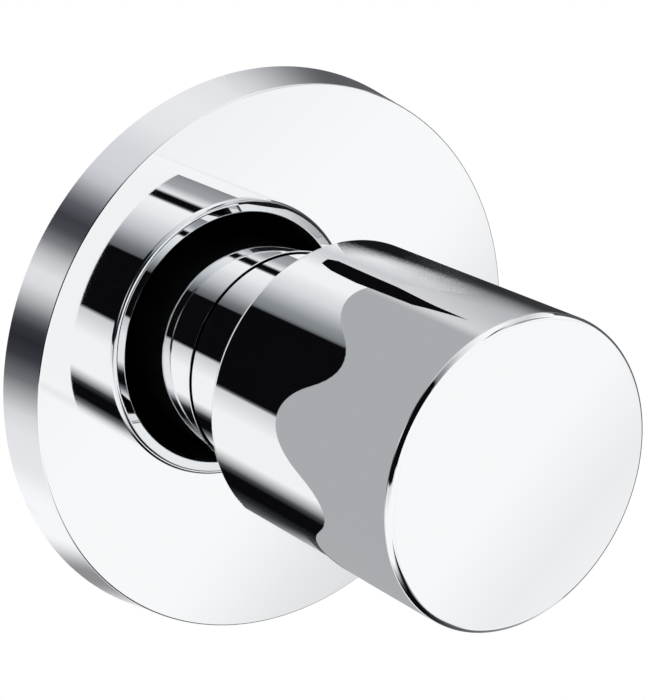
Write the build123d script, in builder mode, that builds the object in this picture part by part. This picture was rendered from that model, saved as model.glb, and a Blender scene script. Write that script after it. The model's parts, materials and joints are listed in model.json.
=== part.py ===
from build123d import *
import os
from math import cos, radians, sin, sqrt

# Concealed stop valve: escutcheon, neck sleeve and round handle on a headwork with a sliding piston.
# Millimetres. The valve axis is Y, the wall plane is y = 0, the room lies towards -Y and +Z is up.
# A value that ends in _out is a distance from the wall plane towards the room, negative inside the wall.
# The valve is drawn closed, with the piston run back to its seat.

# Fits
running_gap = 0.05
seal_gap = 0.02
joint_gap = 0.3

# Escutcheon
rosette_d = 80.0
rosette_taper = 1.1
rosette_height = 7.2
rosette_plate = 2.0
rosette_rim_wall = 1.8
rosette_edge_round = 0.25
rosette_bore_gap = 0.25
collar_wall = 3.9
collar_setback = 1.2
collar_groove_depth = 1.75
collar_groove_width = 2.4
wall_seal_width = 4.0
wall_seal_rim_gap = 0.6

# Neck sleeve
sleeve_d = 30.8
sleeve_wall = 1.5
sleeve_cover = 4.8
sleeve_edge_round = 0.3

# Handle shell
handle_wall = 2.0
handle_sleeve_gap = 3.1
handle_length = 37.8
handle_standoff = 12.0
front_dome = 0.4
front_edge_round = 0.9
rear_edge_round = 0.8
cavity_front_wall = 3.4
hub_wall = 1.6
hub_front_wall = 8.5
hub_bore_room = 1.9

# Handle drive
insert_wall = 0.4
insert_overhang = 1.0
insert_corner_round = 1.5
drive_hex_af = 10.0
drive_hex_length = 16.0
grub_angle = 270.0
grub_d = 5.0
grub_setback = 10.0
grub_recess = 1.2
grub_socket_af = 2.5
grub_socket_depth = 2.5
grub_tip_chamfer = 0.6
grub_boss_wall = 2.0
grub_boss_sink = 0.8

# Spindle extension and its screw
extension_d = 14.0
extension_screw_d = 4.0
extension_screw_grip = 8.0
extension_screw_hole_gap = 0.2
extension_screw_head_d = 7.0
extension_screw_head_height = 2.6
extension_screw_socket_af = 3.0
extension_screw_socket_depth = 1.6

# Headwork body
seat_depth = 19.6
flange_d = 26.8
flange_thickness = 2.4
wrench_af = 22.0
wrench_length = 8.2
wrench_chamfer = 0.8
neck_wall = 1.15
neck_length = 16.0
neck_chamfer = 0.6
pipe_thread_d = 20.955
pipe_thread_length = 11.0
pipe_thread_chamfer = 0.8
thread_relief_depth = 0.78
thread_relief_length = 0.8
body_gasket_thickness = 1.6
body_gasket_d = 26.0
body_gasket_gap = 0.1
journal_length = 13.0
slide_hex_length = 13.5
slide_bore_wall = 1.4

# Sleeve adapter
adapter_flange = 1.5
adapter_flange_d = 30.0
adapter_length = 14.0
adapter_sleeve_gap = 0.1
adapter_groove_depth = 1.5
adapter_groove_width = 2.4
adapter_groove_front_setback = 2.6
adapter_groove_pitch = 5.4

# Spindle
journal_d = 10.0
spindle_groove_depth = 1.4
spindle_groove_width = 1.9
spindle_groove_setback = 4.7
spindle_groove_pitch = 4.8
clip_thickness = 1.0
clip_groove_depth = 0.8
clip_d = 14.0
clip_opening = 5.0
clip_gap = 0.1
journal_end_land = 1.2
spline_d = 8.0
spline_depth = 0.45
spline_teeth = 20
spline_length = 8.7
spindle_collar_gap = 0.6
spindle_collar = 1.7
thrust_washer_thickness = 0.9
drive_thread_d = 8.0
drive_thread_length = 14.35

# Piston
lift = 6.0
piston_end_gap = 0.8
piston_hex_step = 0.45
piston_floor = 1.6
piston_groove_setback = 4.2
piston_groove_width = 2.4
piston_groove_depth = 1.7
valve_washer_step = 0.45
valve_washer_thickness = 3.2
washer_screw_d = 4.0
washer_screw_grip = 4.6
washer_screw_head_d = 7.4
washer_screw_head_height = 2.0
washer_screw_slot_width = 1.1
washer_screw_slot_depth = 0.9

# Ratio of a hexagon's flat radius to its corner radius, and the turn that lays a flat on its plane's x axis
flat_ratio = cos(radians(30))
flat_to_x = 30

# Radii worked out from the diameters, the walls and the fits
rosette_r = rosette_d / 2
rosette_front_r = rosette_r - rosette_taper
sleeve_r = sleeve_d / 2
sleeve_bore_r = sleeve_r - sleeve_wall
cavity_r = sleeve_r + handle_sleeve_gap
handle_r = cavity_r + handle_wall
pipe_thread_r = pipe_thread_d / 2
relief_r = pipe_thread_r - thread_relief_depth
slide_bore_r = relief_r - slide_bore_wall
piston_r = slide_bore_r - running_gap
piston_hex_r = piston_r - piston_hex_step
slide_hex_r = piston_hex_r + running_gap / flat_ratio
neck_r = slide_hex_r + neck_wall
journal_r = journal_d / 2
journal_bore_r = journal_r + running_gap
spindle_collar_r = slide_hex_r * flat_ratio - spindle_collar_gap
drive_thread_r = drive_thread_d / 2
valve_washer_r = piston_r - valve_washer_step
drive_hex_r = drive_hex_af / 2 / flat_ratio
insert_hex_r = drive_hex_r + running_gap / flat_ratio
insert_width = 2 * (insert_hex_r + insert_wall)
hub_bore_width = insert_width + 2 * running_gap
hub_r = hub_bore_width / sqrt(2) + hub_wall
grub_r = grub_d / 2
grub_boss_r = grub_r + grub_boss_wall
wrench_corner_r = wrench_af / 2 / flat_ratio
extension_screw_r = extension_screw_d / 2
washer_screw_r = washer_screw_d / 2

# Places along the axis, from the wall outwards and inwards
plate_rear_out = rosette_height - rosette_plate
handle_rear_out = rosette_height + handle_standoff
handle_edge_out = handle_rear_out + handle_length
cavity_front_out = handle_edge_out - cavity_front_wall
hub_bore_depth = drive_hex_length + extension_screw_head_height + hub_bore_room
hub_rear_out = handle_edge_out - hub_front_wall - hub_bore_depth
sleeve_front_out = handle_rear_out + sleeve_cover
flange_rear_out = -seat_depth
flange_front_out = flange_rear_out + flange_thickness
wrench_front_out = flange_front_out + wrench_length
neck_front_out = wrench_front_out + neck_length
thread_front_out = flange_rear_out - body_gasket_thickness - thread_relief_length
thread_rear_out = thread_front_out - pipe_thread_length
shoulder_out = neck_front_out - journal_length
slide_hex_rear_out = shoulder_out - slide_hex_length
adapter_front_out = wrench_front_out + adapter_length
sleeve_rear_out = wrench_front_out + adapter_flange
clip_rear_out = neck_front_out + clip_gap
clip_front_out = clip_rear_out + clip_thickness
journal_front_out = clip_front_out + journal_end_land
spindle_front_out = journal_front_out + spline_length
washer_front_out = shoulder_out - running_gap
collar_front_out = washer_front_out - thrust_washer_thickness
collar_back_out = collar_front_out - spindle_collar
spindle_rear_out = collar_back_out - drive_thread_length
extension_rear_out = journal_front_out + joint_gap
extension_front_out = hub_rear_out + drive_hex_length
grub_out = hub_rear_out + grub_setback
piston_front_out = collar_back_out - piston_end_gap - lift
piston_hex_rear_out = slide_hex_rear_out - lift - piston_end_gap
piston_bore_rear_out = spindle_rear_out - lift - piston_end_gap
washer_hole_depth = washer_screw_grip + joint_gap
piston_rear_out = piston_bore_rear_out - piston_floor - washer_hole_depth
valve_washer_rear_out = piston_rear_out - valve_washer_thickness

# The axis, and the half plane in which turned pieces are drawn: radius across, distance from the wall up
valve_axis = Axis((0, 0, 0), (0, -1, 0))
section = Plane(origin=(0, 0, 0), x_dir=(1, 0, 0), z_dir=(0, 0, -1))


def across(out, angle=0.0):
    """Plane square to the axis at a distance from the wall, turned about the axis, facing the room."""
    turn = radians(angle)
    return Plane(origin=(0, -out, 0), x_dir=(cos(turn), 0, sin(turn)), z_dir=(0, -1, 0))


def turned_outline(*points):
    """Closed outline of radius and distance pairs, as a face of the sketch that is being drawn."""
    with BuildLine() as outline:
        Polyline(*points, close=True)
    make_face(outline.edges())


def seal_ring(inner_r, outer_r, middle_out):
    """Round seal ring that fills the space between two radii, with a hair of clearance on both."""
    cord_r = (outer_r - inner_r) / 2 - seal_gap
    with BuildSketch(section) as cord:
        with Locations(((inner_r + outer_r) / 2, middle_out)):
            Circle(cord_r)
    revolve(cord.sketch, axis=valve_axis)


def spline_outline(tip_r, root_r):
    """Outline of the fine drive teeth, tip and root in turn."""
    step = radians(180 / spline_teeth)
    points = []
    for corner in range(2 * spline_teeth):
        reach = root_r if corner % 2 else tip_r
        points.append((reach * cos(corner * step), reach * sin(corner * step)))
    turned_outline(*points)


os.makedirs("parts", exist_ok=True)

# Escutcheon: flat front, slightly tapered rim, hollow back and a bored collar with a ring groove
rosette_bore_r = sleeve_r + rosette_bore_gap
collar_r = rosette_bore_r + collar_wall
collar_groove_r = rosette_bore_r + collar_groove_depth
collar_groove_out = (collar_setback + plate_rear_out) / 2
rim_taper = (rosette_r - rosette_front_r) / rosette_height
rim_rear_inner_r = rosette_r - rosette_rim_wall
rim_front_inner_r = rim_rear_inner_r - rim_taper * plate_rear_out
with BuildPart() as rosette:
    with BuildSketch(section):
        turned_outline(
            (rosette_r, 0),
            (rosette_front_r, rosette_height),
            (rosette_bore_r, rosette_height),
            (rosette_bore_r, collar_setback),
            (collar_r, collar_setback),
            (collar_r, plate_rear_out),
            (rim_front_inner_r, plate_rear_out),
            (rim_rear_inner_r, 0),
        )
    revolve(axis=valve_axis)
    with BuildSketch(section):
        with Locations((rosette_bore_r, collar_groove_out)):
            Rectangle(2 * collar_groove_depth, collar_groove_width)
    revolve(axis=valve_axis, mode=Mode.SUBTRACT)
    front_face = rosette.faces().sort_by(Axis.Y)[0]
    fillet(front_face.edges(), radius=rosette_edge_round)
rosette.part.label = "rosette"
export_step(rosette.part, "parts/rosette.step")

# Foam ring that seals the escutcheon against the wall
wall_seal_outer_r = rim_front_inner_r - wall_seal_rim_gap
with BuildPart() as rosette_seal:
    with BuildSketch(across(0)):
        Circle(wall_seal_outer_r)
        Circle(wall_seal_outer_r - wall_seal_width, mode=Mode.SUBTRACT)
    extrude(amount=plate_rear_out)
rosette_seal.part.label = "rosette_seal"
export_step(rosette_seal.part, "parts/rosette_seal.step")

# Ring in the collar that grips the sleeve
with BuildPart() as rosette_o_ring:
    seal_ring(sleeve_r, collar_groove_r, collar_groove_out)
rosette_o_ring.part.label = "rosette_o_ring"
export_step(rosette_o_ring.part, "parts/rosette_o_ring.step")

# Neck sleeve: a plain tube that reaches into the hollow rear of the handle
with BuildPart() as sleeve:
    with BuildSketch(across(sleeve_rear_out)):
        Circle(sleeve_r)
        Circle(sleeve_bore_r, mode=Mode.SUBTRACT)
    extrude(amount=sleeve_front_out - sleeve_rear_out)
    fillet(sleeve.faces().sort_by(Axis.Y)[0].edges(), radius=sleeve_edge_round)
sleeve.part.label = "sleeve"
export_step(sleeve.part, "parts/sleeve.step")

# Sleeve adapter: ring screwed on the headwork neck, with a stop flange and two ring grooves
adapter_r = sleeve_bore_r - adapter_sleeve_gap
adapter_groove_r = adapter_r - adapter_groove_depth
adapter_front_groove_out = adapter_front_out - adapter_groove_front_setback
adapter_rear_groove_out = adapter_front_groove_out - adapter_groove_pitch
with BuildPart() as sleeve_adapter:
    with BuildSketch(across(wrench_front_out)):
        Circle(adapter_flange_d / 2)
        Circle(neck_r + running_gap, mode=Mode.SUBTRACT)
    extrude(amount=adapter_flange)
    with BuildSketch(across(sleeve_rear_out)):
        Circle(adapter_r)
        Circle(neck_r + running_gap, mode=Mode.SUBTRACT)
    extrude(amount=adapter_front_out - sleeve_rear_out)
    with BuildSketch(section):
        with Locations((adapter_r, adapter_front_groove_out), (adapter_r, adapter_rear_groove_out)):
            Rectangle(2 * adapter_groove_depth, adapter_groove_width)
    revolve(axis=valve_axis, mode=Mode.SUBTRACT)
sleeve_adapter.part.label = "sleeve_adapter"
export_step(sleeve_adapter.part, "parts/sleeve_adapter.step")

# Rings between the adapter and the sleeve
with BuildPart() as sleeve_o_ring_front:
    seal_ring(adapter_groove_r, sleeve_bore_r, adapter_front_groove_out)
sleeve_o_ring_front.part.label = "sleeve_o_ring_front"
export_step(sleeve_o_ring_front.part, "parts/sleeve_o_ring_front.step")

with BuildPart() as sleeve_o_ring_rear:
    seal_ring(adapter_groove_r, sleeve_bore_r, adapter_rear_groove_out)
sleeve_o_ring_rear.part.label = "sleeve_o_ring_rear"
export_step(sleeve_o_ring_rear.part, "parts/sleeve_o_ring_rear.step")

# Handle: round blank with a domed front, hollow rear with a hub and a set screw boss
grub_turn = radians(grub_angle)
grub_plane = Plane(
    origin=(0, -grub_out, 0),
    x_dir=(0, -1, 0),
    z_dir=(cos(grub_turn), 0, sin(grub_turn)),
)
with BuildPart() as handle:
    with BuildSketch(section):
        with BuildLine():
            Polyline(
                (0, handle_edge_out + front_dome),
                (0, handle_rear_out),
                (handle_r, handle_rear_out),
                (handle_r, handle_edge_out),
            )
            dome_r = (handle_r**2 + front_dome**2) / (2 * front_dome)
            RadiusArc((handle_r, handle_edge_out), (0, handle_edge_out + front_dome), -dome_r)
        make_face()
    revolve(axis=valve_axis)
    side_edges = handle.faces().filter_by(GeomType.CYLINDER).edges().filter_by(GeomType.CIRCLE)
    fillet(side_edges.sort_by(Axis.Y)[0], radius=front_edge_round)
    fillet(handle.faces().sort_by(Axis.Y)[-1].edges(), radius=rear_edge_round)
    with BuildSketch(across(handle_rear_out)):
        Circle(cavity_r)
    extrude(amount=cavity_front_out - handle_rear_out, mode=Mode.SUBTRACT)
    with BuildSketch(across(hub_rear_out)):
        Circle(hub_r)
    extrude(amount=cavity_front_out - hub_rear_out)
    with BuildSketch(grub_plane.offset(hub_r - grub_boss_sink)):
        Circle(grub_boss_r)
    extrude(amount=cavity_r - hub_r + 2 * grub_boss_sink)
    with BuildSketch(across(hub_rear_out, grub_angle)):
        RectangleRounded(hub_bore_width, hub_bore_width, insert_corner_round)
    extrude(amount=hub_bore_depth, mode=Mode.SUBTRACT)
    with BuildSketch(grub_plane):
        Circle(grub_r + running_gap)
    extrude(amount=handle_r, mode=Mode.SUBTRACT)
handle.part.label = "handle"
export_step(handle.part, "parts/handle.step")

# Insert: plastic bush, square outside and hexagonal inside, with a side hole for the set screw
with BuildPart() as handle_insert:
    with BuildSketch(across(hub_rear_out, grub_angle)):
        RectangleRounded(insert_width, insert_width, insert_corner_round)
        RegularPolygon(insert_hex_r, 6, rotation=flat_to_x, mode=Mode.SUBTRACT)
    extrude(amount=drive_hex_length + insert_overhang)
    with BuildSketch(grub_plane):
        Circle(grub_r + joint_gap)
    extrude(amount=insert_width, mode=Mode.SUBTRACT)
handle_insert.part.label = "handle_insert"
export_step(handle_insert.part, "parts/handle_insert.step")

# Set screw: hexagon socket, chamfered tip on a flat of the extension
grub_tip = drive_hex_af / 2 + running_gap
grub_top = handle_r - grub_recess
with BuildPart() as grub_screw:
    with BuildSketch(grub_plane.offset(grub_tip)):
        Circle(grub_r)
    extrude(amount=grub_top - grub_tip)
    tip_face = grub_screw.faces().sort_by(Axis(grub_plane.origin, grub_plane.z_dir))[0]
    chamfer(tip_face.edges(), length=grub_tip_chamfer)
    with BuildSketch(grub_plane.offset(grub_top)):
        RegularPolygon(grub_socket_af / 2 / flat_ratio, 6)
    extrude(amount=-grub_socket_depth, mode=Mode.SUBTRACT)
grub_screw.part.label = "grub_screw"
export_step(grub_screw.part, "parts/grub_screw.step")

# Spindle extension: round bar with a toothed socket behind and a hexagon ahead, bored for its screw
with BuildPart() as spindle_extension:
    with BuildSketch(across(extension_rear_out)):
        Circle(extension_d / 2)
    extrude(amount=hub_rear_out - extension_rear_out)
    with BuildSketch(across(hub_rear_out, grub_angle)):
        RegularPolygon(drive_hex_r, 6, rotation=flat_to_x)
    extrude(amount=drive_hex_length)
    with BuildSketch(across(extension_rear_out)):
        spline_outline(spline_d / 2 + running_gap, spline_d / 2 - spline_depth + running_gap)
    extrude(amount=spindle_front_out - extension_rear_out, mode=Mode.SUBTRACT)
    with BuildSketch(across(spindle_front_out)):
        Circle(extension_screw_r + extension_screw_hole_gap)
    extrude(amount=extension_front_out - spindle_front_out, mode=Mode.SUBTRACT)
spindle_extension.part.label = "spindle_extension"
export_step(spindle_extension.part, "parts/spindle_extension.step")

# Long screw through the extension into the spindle
with BuildPart() as extension_screw:
    with BuildSketch(across(spindle_front_out - extension_screw_grip)):
        Circle(extension_screw_r)
    extrude(amount=extension_front_out - spindle_front_out + extension_screw_grip)
    with BuildSketch(across(extension_front_out)):
        Circle(extension_screw_head_d / 2)
    extrude(amount=extension_screw_head_height)
    with BuildSketch(across(extension_front_out + extension_screw_head_height)):
        RegularPolygon(extension_screw_socket_af / 2 / flat_ratio, 6)
    extrude(amount=-extension_screw_socket_depth, mode=Mode.SUBTRACT)
extension_screw.part.label = "extension_screw"
export_step(extension_screw.part, "parts/extension_screw.step")

# Headwork body: pipe thread, flange, wrench hexagon and neck, with a journal bore and a keyed slide bore
with BuildPart() as bonnet:
    with BuildSketch(section):
        turned_outline(
            (0, thread_rear_out),
            (pipe_thread_r - pipe_thread_chamfer, thread_rear_out),
            (pipe_thread_r, thread_rear_out + pipe_thread_chamfer),
            (pipe_thread_r, thread_front_out),
            (relief_r, thread_front_out),
            (relief_r, flange_rear_out),
            (flange_d / 2, flange_rear_out),
            (flange_d / 2, flange_front_out),
            (neck_r, flange_front_out),
            (neck_r, neck_front_out - neck_chamfer),
            (neck_r - neck_chamfer, neck_front_out),
            (0, neck_front_out),
        )
    revolve(axis=valve_axis)
    with BuildSketch(across(flange_front_out)):
        RegularPolygon(wrench_corner_r, 6)
    extrude(amount=wrench_length)
    with BuildSketch(section):
        turned_outline(
            (wrench_af / 2, wrench_front_out),
            (wrench_corner_r, wrench_front_out),
            (wrench_corner_r, wrench_front_out - wrench_chamfer),
        )
    revolve(axis=valve_axis, mode=Mode.SUBTRACT)
    with BuildSketch(across(shoulder_out)):
        Circle(journal_bore_r)
    extrude(amount=journal_length, mode=Mode.SUBTRACT)
    with BuildSketch(across(slide_hex_rear_out)):
        RegularPolygon(slide_hex_r, 6)
    extrude(amount=slide_hex_length, mode=Mode.SUBTRACT)
    with BuildSketch(across(thread_rear_out)):
        Circle(slide_bore_r)
    extrude(amount=slide_hex_rear_out - thread_rear_out, mode=Mode.SUBTRACT)
bonnet.part.label = "bonnet"
export_step(bonnet.part, "parts/bonnet.step")

# Flat ring under the flange
with BuildPart() as bonnet_gasket:
    with BuildSketch(across(flange_rear_out - body_gasket_thickness)):
        Circle(body_gasket_d / 2)
        Circle(relief_r + body_gasket_gap, mode=Mode.SUBTRACT)
    extrude(amount=body_gasket_thickness)
bonnet_gasket.part.label = "bonnet_gasket"
export_step(bonnet_gasket.part, "parts/bonnet_gasket.step")

# Spindle: drive thread, collar, journal with two ring grooves and a clip groove, toothed head
spindle_groove_r = journal_r - spindle_groove_depth
spindle_front_groove_out = neck_front_out - spindle_groove_setback
spindle_rear_groove_out = spindle_front_groove_out - spindle_groove_pitch
clip_groove_r = journal_r - clip_groove_depth
with BuildPart() as spindle:
    with BuildSketch(section):
        turned_outline(
            (0, spindle_rear_out),
            (drive_thread_r, spindle_rear_out),
            (drive_thread_r, collar_back_out),
            (spindle_collar_r, collar_back_out),
            (spindle_collar_r, collar_front_out),
            (journal_r, collar_front_out),
            (journal_r, journal_front_out),
            (0, journal_front_out),
        )
    revolve(axis=valve_axis)
    with BuildSketch(section):
        with Locations((journal_r, spindle_front_groove_out), (journal_r, spindle_rear_groove_out)):
            Rectangle(2 * spindle_groove_depth, spindle_groove_width)
        with Locations((journal_r, (clip_rear_out + clip_front_out) / 2)):
            Rectangle(2 * clip_groove_depth, clip_thickness + 2 * running_gap)
    revolve(axis=valve_axis, mode=Mode.SUBTRACT)
    with BuildSketch(across(journal_front_out)):
        spline_outline(spline_d / 2, spline_d / 2 - spline_depth)
    extrude(amount=spline_length)
    with BuildSketch(across(spindle_front_out)):
        Circle(extension_screw_r + running_gap)
    extrude(amount=-(extension_screw_grip + joint_gap), mode=Mode.SUBTRACT)
spindle.part.label = "spindle"
export_step(spindle.part, "parts/spindle.step")

# Rings between the spindle and the bonnet
with BuildPart() as spindle_o_ring_front:
    seal_ring(spindle_groove_r, journal_bore_r, spindle_front_groove_out)
spindle_o_ring_front.part.label = "spindle_o_ring_front"
export_step(spindle_o_ring_front.part, "parts/spindle_o_ring_front.step")

with BuildPart() as spindle_o_ring_rear:
    seal_ring(spindle_groove_r, journal_bore_r, spindle_rear_groove_out)
spindle_o_ring_rear.part.label = "spindle_o_ring_rear"
export_step(spindle_o_ring_rear.part, "parts/spindle_o_ring_rear.step")

# Slide ring between the spindle collar and the bonnet
with BuildPart() as thrust_washer:
    with BuildSketch(across(collar_front_out)):
        Circle(spindle_collar_r)
        Circle(journal_r + running_gap, mode=Mode.SUBTRACT)
    extrude(amount=thrust_washer_thickness)
thrust_washer.part.label = "thrust_washer"
export_step(thrust_washer.part, "parts/thrust_washer.step")

# Open spring clip that keeps the spindle in the bonnet
with BuildPart() as retaining_clip:
    with BuildSketch(across(clip_rear_out)):
        Circle(clip_d / 2)
        Circle(clip_groove_r + seal_gap, mode=Mode.SUBTRACT)
        with Locations((clip_d / 2, 0)):
            Rectangle(clip_d, clip_opening, mode=Mode.SUBTRACT)
    extrude(amount=clip_thickness)
retaining_clip.part.label = "retaining_clip"
export_step(retaining_clip.part, "parts/retaining_clip.step")

# Piston: hexagon slide with a threaded bore, round rear with a ring groove, tapped for the washer screw
piston_groove_r = piston_r - piston_groove_depth
piston_groove_out = piston_hex_rear_out - piston_groove_setback
with BuildPart() as piston:
    with BuildSketch(across(piston_rear_out)):
        Circle(piston_r)
    extrude(amount=piston_hex_rear_out - piston_rear_out)
    with BuildSketch(across(piston_hex_rear_out)):
        RegularPolygon(piston_hex_r, 6)
    extrude(amount=piston_front_out - piston_hex_rear_out)
    with BuildSketch(across(piston_bore_rear_out)):
        Circle(drive_thread_r + running_gap)
    extrude(amount=piston_front_out - piston_bore_rear_out, mode=Mode.SUBTRACT)
    with BuildSketch(section):
        with Locations((piston_r, piston_groove_out)):
            Rectangle(2 * piston_groove_depth, piston_groove_width)
    revolve(axis=valve_axis, mode=Mode.SUBTRACT)
    with BuildSketch(across(piston_rear_out)):
        Circle(washer_screw_r + running_gap)
    extrude(amount=washer_hole_depth, mode=Mode.SUBTRACT)
piston.part.label = "piston"
export_step(piston.part, "parts/piston.step")

# Ring between the piston and the slide bore
with BuildPart() as piston_o_ring:
    seal_ring(piston_groove_r, slide_bore_r, piston_groove_out)
piston_o_ring.part.label = "piston_o_ring"
export_step(piston_o_ring.part, "parts/piston_o_ring.step")

# Rubber disc that closes the seat
with BuildPart() as valve_washer:
    with BuildSketch(across(valve_washer_rear_out)):
        Circle(valve_washer_r)
        Circle(washer_screw_r + running_gap, mode=Mode.SUBTRACT)
    extrude(amount=valve_washer_thickness)
valve_washer.part.label = "valve_washer"
export_step(valve_washer.part, "parts/valve_washer.step")

# Slotted screw that holds the disc
with BuildPart() as washer_screw:
    with BuildSketch(across(valve_washer_rear_out - washer_screw_head_height)):
        Circle(washer_screw_head_d / 2)
    extrude(amount=washer_screw_head_height)
    with BuildSketch(across(valve_washer_rear_out)):
        Circle(washer_screw_r)
    extrude(amount=valve_washer_thickness + washer_screw_grip)
    with BuildSketch(across(valve_washer_rear_out - washer_screw_head_height)):
        Rectangle(washer_screw_head_d, washer_screw_slot_width)
    extrude(amount=washer_screw_slot_depth, mode=Mode.SUBTRACT)
washer_screw.part.label = "washer_screw"
export_step(washer_screw.part, "parts/washer_screw.step")
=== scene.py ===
"""Looks of the concealed stop valve: bright chrome trim on a turned brass headwork, in a white studio."""
import json
import logging
import math
from dataclasses import dataclass, field
from enum import Enum, IntEnum
from typing import Iterable

import bpy
from bpy.types import Material, Mesh, Node, NodeSocket, NodeTree, Object
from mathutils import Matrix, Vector


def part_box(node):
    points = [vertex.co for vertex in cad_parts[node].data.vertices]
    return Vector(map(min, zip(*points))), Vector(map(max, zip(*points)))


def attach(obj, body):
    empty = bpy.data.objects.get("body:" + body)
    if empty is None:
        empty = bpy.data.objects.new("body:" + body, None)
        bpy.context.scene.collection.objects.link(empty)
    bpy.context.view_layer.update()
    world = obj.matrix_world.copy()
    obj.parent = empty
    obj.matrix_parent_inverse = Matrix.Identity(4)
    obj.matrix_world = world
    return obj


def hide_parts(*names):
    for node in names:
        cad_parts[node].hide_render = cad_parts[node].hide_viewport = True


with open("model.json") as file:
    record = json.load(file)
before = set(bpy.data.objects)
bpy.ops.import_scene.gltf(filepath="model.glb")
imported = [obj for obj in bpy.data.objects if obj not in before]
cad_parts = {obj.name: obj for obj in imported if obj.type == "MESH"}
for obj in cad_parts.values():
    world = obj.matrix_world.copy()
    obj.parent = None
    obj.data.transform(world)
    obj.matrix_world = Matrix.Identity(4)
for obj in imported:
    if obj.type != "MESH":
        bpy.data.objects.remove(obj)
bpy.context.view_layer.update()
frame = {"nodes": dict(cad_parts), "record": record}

LOG = logging.getLogger("stop_valve")
MM = 0.001
TURN = 2 * math.pi
# Leaves of a place what lies across the valve axis
ACROSS = (1, 0, 1)
# Half the angle that a side of a hexagon spans
HALF_SIDE = math.pi / 6
# How far a cutter reaches past the piece that it cuts, in mm
OVERSHOOT = 1.0
# Signs of an oblong's corners in turning order
QUARTERS = ((-1, -1), (1, -1), (1, 1), (-1, 1))
WHITE = "#ffffff"
BLACK = "#0b0b0d"
# Places of the sockets of a node that mixes two colours
MIX_SHARE, MIX_FIRST, MIX_SECOND, MIX_RESULT = 0, 6, 7, 2

Point = tuple[float, float]
Shades = tuple[tuple[float, str], ...]
Formula = float | NodeSocket | tuple


class Body(str, Enum):
    """The bodies that pieces ride on."""

    WALL_SET = "wall_set"
    HANDLE = "handle"
    PISTON = "piston"


class Slot(str, Enum):
    """The record's material slots."""

    CHROME = "chrome_plate"
    BRASS = "brass"
    STEEL = "stainless_steel"
    RUBBER = "black_rubber"
    FOAM = "foam_rubber"
    FIBRE = "fibre_gasket"
    PLASTIC = "moulded_plastic"
    SLIDE = "slide_plastic"


class Work(str, Enum):
    """What a tool does to a mesh."""

    JOIN = "UNION"
    CUT = "DIFFERENCE"


class Blend(str, Enum):
    """How a mask comes in."""

    SOFT = "SMOOTHSTEP"
    EVEN = "LINEAR"


class Coat(IntEnum):
    """Material numbers of a mesh: its main finish, and that of its bare inside, which is darkened with painted
    shade.
    """

    MAIN = 0
    INSIDE = 1


def linear(colour: str) -> tuple[float, float, float, float]:
    """Turns a sRGB hex colour into linear RGBA.

    Args:
        colour: Six hex digits after a hash sign.

    Returns:
        Linear red, green, blue and an alpha of 1.
    """
    parts = (int(colour[i:i + 2], 16) / 255 for i in (1, 3, 5))
    red, green, blue = (c / 12.92 if c <= 0.04045 else ((c + 0.055) / 1.055) ** 2.4 for c in parts)
    return red, green, blue, 1.0


def add_node(tree: NodeTree, kind: str, inputs: dict[str | int, object] | None = None,
             **settings: object) -> Node:
    """Adds one node with its settings, socket values and links.

    Args:
        tree: The tree that gets the node.
        kind: The node's type name.
        inputs: Values or output sockets by input name or place.
        **settings: Attributes of the node.

    Returns:
        The new node.
    """
    node = tree.nodes.new(kind)
    for name, value in settings.items():
        setattr(node, name, value)
    for key, value in (inputs or {}).items():
        socket = node.inputs[key]
        if isinstance(value, NodeSocket):
            tree.links.new(value, socket)
        else:
            socket.default_value = value
    return node


def add_object(name: str, data: bpy.types.ID) -> Object:
    """Puts a mesh or camera in the scene.

    Args:
        name: The object's name.
        data: What it shows.

    Returns:
        The object, at the origin.
    """
    made = bpy.data.objects.new(name, data)
    bpy.context.scene.collection.objects.link(made)
    return made


@dataclass(frozen=True)
class Finish:
    """A surface as it was made: its name, colour and gloss, and the unevenness that shows."""

    name: str
    colour: str
    metallic: float
    roughness: float
    spread: float
    grain_mm: float
    bump_mm: float = 0.0

    def pattern(self, tree: NodeTree, at: NodeSocket) -> NodeSocket:
        """Cloudy unevenness of the surface, from 0 to 1."""
        return add_node(tree, "ShaderNodeTexNoise", {
            "Vector": at, "Scale": 1 / (self.grain_mm * MM), "Detail": 3.0, "Roughness": 0.55}).outputs["Fac"]

    def shade(self, tree: NodeTree, shader: Node, pattern: NodeSocket) -> None:
        """Sets the colour, which is the same all over unless a finish says otherwise."""
        shader.inputs["Base Color"].default_value = linear(self.colour)

    def material(self) -> Material:
        """Builds the material, once.

        Returns:
            The material of this finish.
        """
        made = bpy.data.materials.get(self.name)
        if made:
            return made
        made = bpy.data.materials.new(self.name)
        made.use_nodes = True
        tree = made.node_tree
        shader = tree.nodes["Principled BSDF"]
        shader.inputs["Metallic"].default_value = self.metallic
        at = add_node(tree, "ShaderNodeTexCoord").outputs["Object"]
        pattern = self.pattern(tree, at)
        gloss = add_node(tree, "ShaderNodeMapRange", {
            "Value": pattern, "To Min": self.roughness - self.spread, "To Max": self.roughness + self.spread})
        tree.links.new(gloss.outputs["Result"], shader.inputs["Roughness"])
        if self.bump_mm:
            bump = add_node(tree, "ShaderNodeBump", {
                "Height": pattern, "Distance": self.bump_mm * MM, "Strength": 1.0})
            tree.links.new(bump.outputs["Normal"], shader.inputs["Normal"])
        self.shade(tree, shader, pattern)
        return made


@dataclass(frozen=True)
class TwoTone(Finish):
    """A finish whose pattern also shifts the colour towards a second one."""

    second: str = "#000000"

    def shade(self, tree: NodeTree, shader: Node, pattern: NodeSocket) -> None:
        """Mixes the two colours by the pattern."""
        mix = add_node(tree, "ShaderNodeMix", {
            MIX_SHARE: pattern, MIX_FIRST: linear(self.colour), MIX_SECOND: linear(self.second),
        }, data_type="RGBA")
        tree.links.new(mix.outputs[MIX_RESULT], shader.inputs["Base Color"])


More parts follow.
